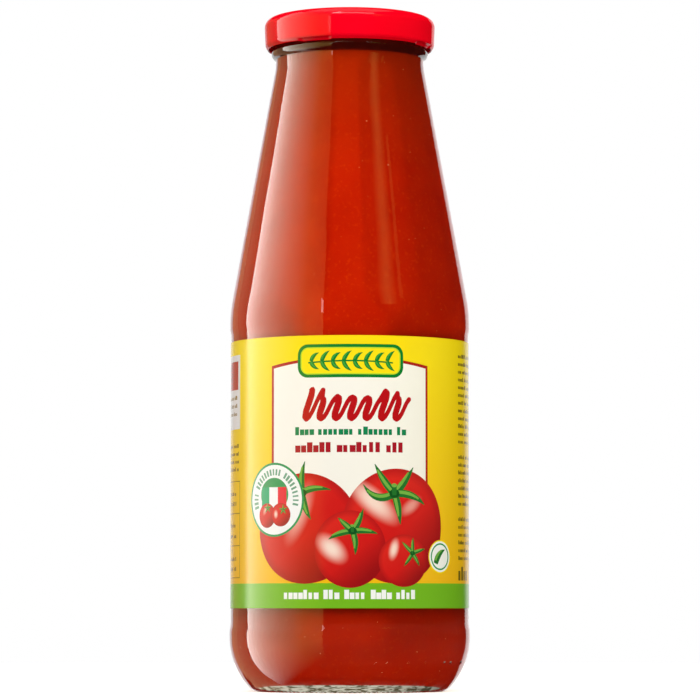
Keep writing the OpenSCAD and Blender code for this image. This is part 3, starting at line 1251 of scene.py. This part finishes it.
def tomato_colour(n, name):
    """The shaded fruit with its gleams laid over it."""
    u, v, ru, rv = [number * PRINT_SCALE for number in TOMATO_SPOTS[name]]
    colour = place_group(n, TOMATO, Middle=(u, v, 0), Size=(ru, rv, 1)).outputs["Color"]
    for *spot, turn, strength in GLEAMS[name]:
        u, v, long, wide = [number * PRINT_SCALE for number in spot]
        shape = {"Middle": (u, v, 0), "Size": (long, wide, 1), "Turn": math.radians(turn)}
        gleam = place_group(n, GLEAM, **shape)
        mask = n.math("MULTIPLY", gleam.outputs["Mask"], strength)
        glow = n.math("MULTIPLY", n.math("POWER", gleam.outputs["Mask"], 0.5), strength * 0.5)
        colour = n.mix(glow, colour, ink(240, 84, 50))
        colour = n.mix(mask, colour, ink(255, 226, 208))
    return colour


def build_ink(name):
    material, n, shader = new_material("ink_" + name, Specular_IOR_Level=0.34)
    paper = place_group(n, PAPER, Unevenness=0.015)
    if name == GROUND:
        n.join(ground_colour(n), paper.inputs["Ink"])
    elif name in TOMATO_SPOTS:
        n.join(tomato_colour(n, name), paper.inputs["Ink"])
    else:
        paper.inputs["Ink"].default_value = ink(*FLAT_INKS[name])
    n.join(paper.outputs["Color"], shader.inputs["Base Color"])
    handle(n, shader, Roughness=0.22, Smudge_Amount=0.01, Smudge_Scale=50.0)
    add_bump(n, shader, paper.outputs["Tooth"], 0.00002, 0.5)
    return material


for name in inks:
    label.data.materials.append(build_ink(name))
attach(label, "root")
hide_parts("label")

# %% [markdown]
# ## The studio
#
# The bottle stands on a pale floor in front of white. Glass, sauce and paper each ask for another
# light, so some lamps are seen only in mirrors and some light only matt things. A long soft box on
# the left is brightest at its far end, which draws the pale band down the glass. Weak strips stand
# on the right, boxes overhead and in front light the label, and cards behind give the glass its
# bright rim. A small lamp draws the thin line on the lid, and a long card touches the neck's bead.

# %% The floor
def build_floor():
    bpy.ops.mesh.primitive_circle_add(vertices=96, radius=0.6, fill_type="NGON")
    floor = bpy.context.object
    floor.name = "pale_floor"
    material, n, shader = new_material("floor_paint", Roughness=0.9, Specular_IOR_Level=0.0)
    paint = n.mix(n.noise(n.place(), 30.0), ink(240, 239, 236), ink(243, 242, 240))
    path = n.add("ShaderNodeLightPath")
    paint = n.mix(path.outputs["Is Diffuse Ray"], paint, (0.10, 0.10, 0.095, 1))
    n.join(paint, shader.inputs["Base Color"])
    shader.inputs["Emission Color"].default_value = (1.0, 0.93, 0.82, 1)
    seen = n.math("MULTIPLY", path.outputs["Is Transmission Ray"], 0.5)
    seen = n.math("ADD", seen, n.math("MULTIPLY", path.outputs["Is Camera Ray"], 0.4))
    n.join(seen, shader.inputs["Emission Strength"])
    floor.data.materials.append(material)
    floor.visible_glossy = False


build_floor()

# %% One lamp, and how its light may change across its face
FADE_POWER, FOOT_FADE, TOP_FADE = 3.2, (0.0, 0.34), (0.62, 0.85, 1.0, 0.55)


def soft_box(name, seen_in, place, aim, size, radiance, colour):
    """A rectangular area lamp of an even radiance, which the camera doesn't see."""
    lamp = bpy.data.lights.new(name, "AREA")
    lamp.shape = "RECTANGLE"
    lamp.size, lamp.size_y = size
    lamp.energy = math.pi * size[0] * size[1] * radiance
    lamp.color = colour
    box = bpy.data.objects.new(name, lamp)
    bpy.context.scene.collection.objects.link(box)
    box.location = place
    box.rotation_euler = (Vector(aim) - Vector(place)).to_track_quat("-Z", "Y").to_euler()
    box.visible_camera = False
    box.visible_glossy = "glossy" in seen_in
    box.visible_diffuse = "diffuse" in seen_in
    box.visible_transmission = "transmission" in seen_in
    return box


def lamp_nodes(box):
    """The lamp's nodes, its Emission shader and the two shares across its face."""
    box.data.use_nodes = True
    n = Nodes(box.data.node_tree)
    axes = n.axes(n.add("ShaderNodeNewGeometry").outputs["Parametric"])
    return n, box.data.node_tree.nodes["Emission"], axes["X"], axes["Y"]


def fade_along(box, low, high, dim_colour, far_colour):
    """Let a lamp's brightness climb toward its far end, and die away at its foot."""
    n, glow, across, up = lamp_nodes(box)
    share = n.spread(across, 1.0, 0.0)
    along = n.math("MULTIPLY", n.math("POWER", share, FADE_POWER), high - low)
    along = n.math("ADD", along, low)
    ends = n.math("MULTIPLY", n.spread(up, *FOOT_FADE), n.spread(up, *TOP_FADE))
    n.join(n.math("MULTIPLY", along, ends), glow.inputs["Strength"])
    n.join(n.mix(n.spread(share, 0.4, 1.0), dim_colour, far_colour), glow.inputs["Color"])


def soften_sides(box, share):
    """Let a lamp die away toward both of its long sides."""
    n, glow, across, _ = lamp_nodes(box)
    both = n.math("MULTIPLY", n.spread(across, 0.0, share), n.spread(across, 1.0, 1.0 - share))
    n.join(both, glow.inputs["Strength"])


# %% Place the lamps
WHITE, AMBER, WARM = (1, 1, 1), (1.0, 0.6, 0.32), (1.0, 0.75, 0.15)
PALE, SAND = (1.0, 1.0, 0.6), (1.0, 0.93, 0.82)
mirrored, shining, through_glass = ("glossy",), ("diffuse",), ("transmission",)

# Lamps: where they are seen, their place, aim and size in metres, their radiance and colour.
LAMPS = {
    "left_box": (mirrored, (-0.52, -0.42, 0.15), (0, -0.42, 0.15), (1.30, 1.6), 1.0, WHITE),
    "lid_glint": (mirrored, (-0.515, -1.02, 0.38), (0, -1.02, 0.38), (0.08, 0.2), 3.5, WHITE),
    "left_wing": (mirrored, (-0.52, 0.62, -0.15), (0, 0.62, -0.15), (0.76, 1.4), 0.8, AMBER),
    "left_fill": (shining, (-0.6, 0.0, 0.2), (0, 0, 0.1), (0.7, 0.7), 1.0, WHITE),
    "right_fill": (shining, (0.6, -0.1, 0.2), (0, 0, 0.1), (0.7, 0.7), 0.9, PALE),
    "overhead_box": (shining, (-0.05, -0.75, 0.80), (0, 0, 0.1), (1.1, 0.5), 4.5, WHITE),
    "front_fill": (shining, (0.1, -1.5, 0.75), (0, 0, 0.12), (1.2, 0.7), 3.0, WHITE),
    "back_fill": (shining, (0.2, 1.4, 0.8), (0, 0, 0.12), (1.2, 0.7), 5.0, WHITE),
    "front_card": (mirrored, (0.08, -0.85, 0.86), (0, 0, 0.207), (1.0, 0.2), 7.0, WHITE),
    "ceiling_box": (mirrored, (0, -0.15, 1.0), (0, -0.15, 0), (0.9, 0.7), 1.6, WHITE),
    "top_spot": (mirrored, (-0.2, -0.60, 0.8), (0, 0, 0.2), (0.14, 0.1), 30.0, WHITE),
    "right_strip": (mirrored, (0.49, -0.63, 0.465), (0, 0, 0.16), (0.26, 0.27), 0.85, WARM),
    "right_line": (mirrored, (0.63, -0.50, 0.47), (0, 0, 0.16), (0.05, 0.16), 0.45, WARM),
    "back_card": (mirrored + shining, (0.26, 1.0, 0.2), (0.26, 0, 0.2), (0.72, 0.9), 1.1, WHITE),
    "back_left": (mirrored, (-0.3, 1.0, 0.2), (-0.3, 0, 0.2), (0.4, 0.9), 1.0, WHITE),
    "low_card": (through_glass, (0, 1.0, 0.25), (0, 0, 0.25), (0.9, 0.9), 0.6, SAND),
}
boxes = {name: soft_box(name, *values) for name, values in LAMPS.items()}
fade_along(boxes["left_box"], 1.3, 8.4, (1.0, 0.62, 0.16, 1), (1.0, 0.95, 0.88, 1))
soften_sides(boxes["right_strip"], 0.4)
print(f"{len(boxes)} lamps")

# %% The room
def build_world():
    """White behind the bottle, and a dim room for everything that isn't seen directly."""
    world = bpy.data.worlds.new("studio")
    bpy.context.scene.world = world
    world.use_nodes = True
    n = Nodes(world.node_tree)
    room = world.node_tree.nodes["Background"]
    room.inputs["Color"].default_value = (1, 1, 1, 1)
    path = n.add("ShaderNodeLightPath")
    dim = n.math("MULTIPLY", n.math("MINIMUM", path.outputs["Diffuse Depth"], 1.0), 0.35)
    shown = n.math("ADD", n.math("MULTIPLY", path.outputs["Is Camera Ray"], 0.99), 0.01)
    n.join(n.math("ADD", shown, dim), room.inputs["Strength"])


build_world()

# %% [markdown]
# ## The camera
#
# A long lens just above the floor looks slightly up, so the lid's top edge bows upwards and the
# label's lower edge stays almost straight. No lens shift is used: the camera is simply tilted.

# %% Set the camera
CAMERA_AWAY, CAMERA_UP, LENS, TILT = 1.1825, 0.0268, 186.3, 4.083
camera_data = bpy.data.cameras.new("camera")
camera_data.lens = LENS
camera_data.sensor_width = 36.0
camera = bpy.data.objects.new("camera", camera_data)
bpy.context.scene.collection.objects.link(camera)
camera.location = (0.0001, -CAMERA_AWAY, CAMERA_UP)
camera.rotation_euler = (math.radians(90 + TILT), 0, 0)
bpy.context.scene.camera = camera
bpy.context.scene.view_settings.view_transform = "Standard"
